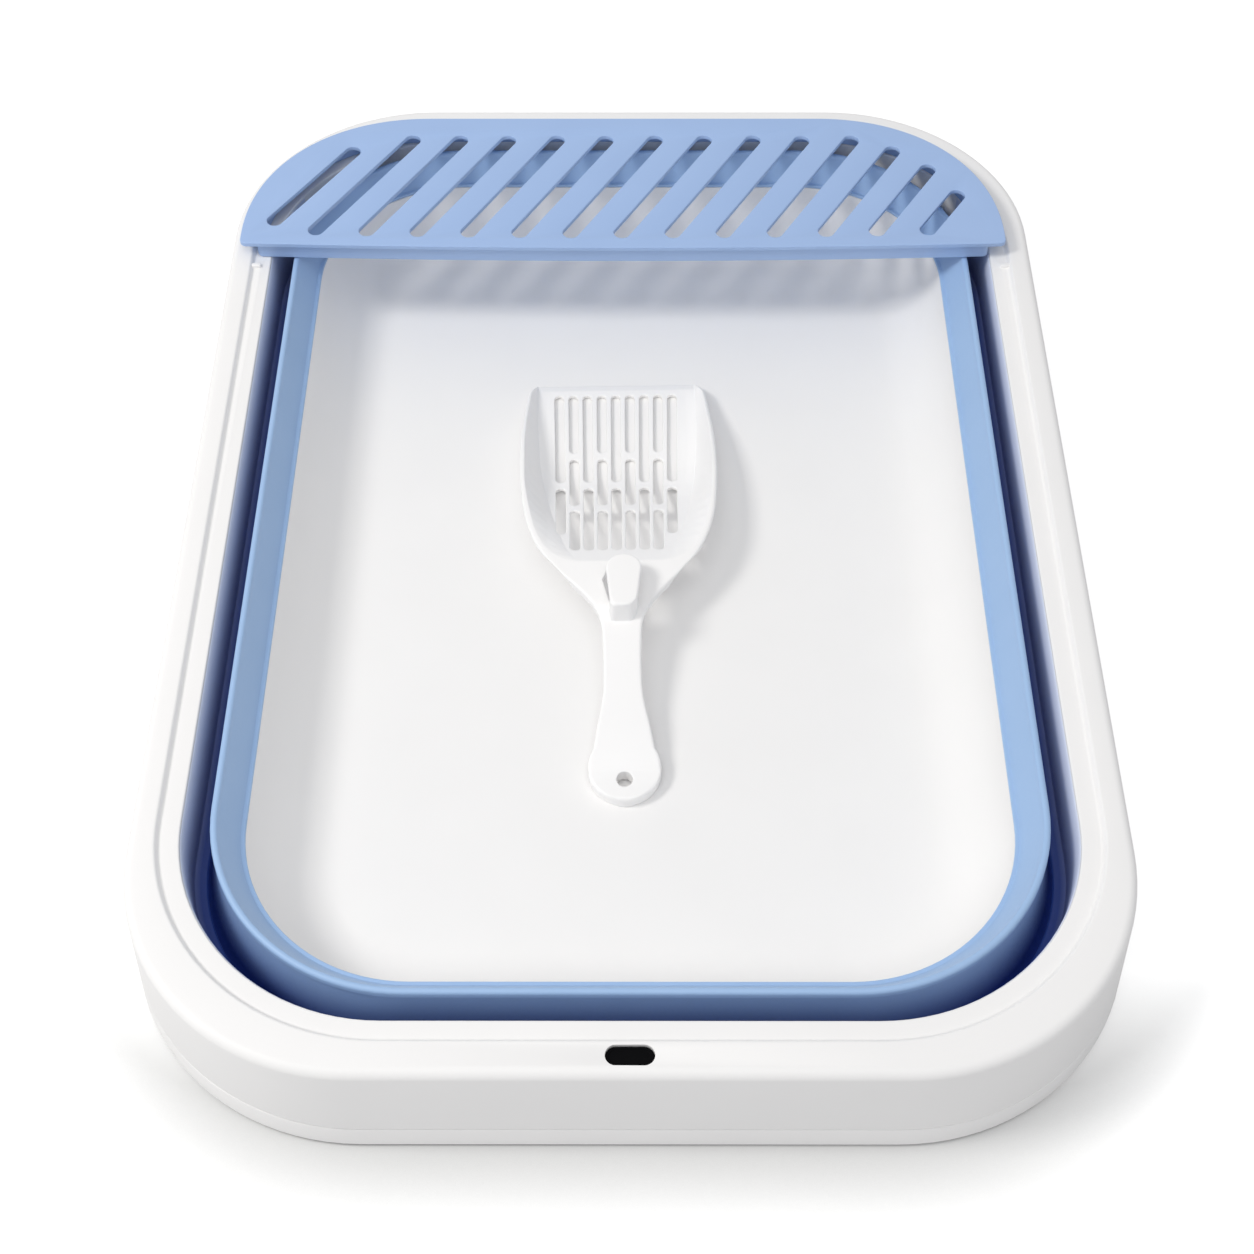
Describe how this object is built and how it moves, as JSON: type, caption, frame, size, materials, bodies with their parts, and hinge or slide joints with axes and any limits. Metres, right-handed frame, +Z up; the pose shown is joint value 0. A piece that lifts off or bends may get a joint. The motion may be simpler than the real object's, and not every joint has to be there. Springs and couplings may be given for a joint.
{
  "type": "foldable litter box",
  "caption": "Foldable pet litter box: a shallow tray and a white rim joined by a soft folding band, with a slotted sifting grate across one end and a slotted scoop lying in the pan.",
  "frame": {"origin": "on the ground under the middle of the folded box", "axes": "+X to the right seen from the front rim, +Y along the length from the front rim to the grate, +Z up"},
  "size_m": [0.4078, 0.5608, 0.0635],
  "materials": {
    "white_plastic": "satin moulded polypropylene",
    "blue_elastomer": "smooth thermoplastic elastomer",
    "blue_plastic": "satin moulded polypropylene",
    "black_plastic": "fine matte",
    "foot_rubber": "matte rubber"
  },
  "bodies": {
    "base": {"base_tray": "white_plastic", "foot_pad_front_left": "foot_rubber", "foot_pad_back_left": "foot_rubber", "foot_pad_front_right": "foot_rubber", "foot_pad_back_right": "foot_rubber", "band_ridge": "blue_elastomer", "band_web": "blue_elastomer"},
    "rim": {"rim_frame": "white_plastic", "slot_insert": "black_plastic", "band_hem": "blue_elastomer"},
    "grate": {"sifting_grate": "blue_plastic"},
    "scoop": {"litter_scoop": "white_plastic"}
  },
  "joints": [
    {"name": "rim_rise", "type": "slide", "parent": "base", "child": "rim", "axis": [0, 0, 1], "range_m": [0, 0.056], "deforming": ["band_web"]},
    {"name": "grate_lift", "type": "slide", "parent": "rim", "child": "grate", "axis": [0, 0, 1], "range_m": [0, 0.12]},
    {"name": "scoop_lift", "type": "slide", "parent": "base", "child": "scoop", "axis": [0, 0, 1], "range_m": [0, 0.16]}
  ]
}
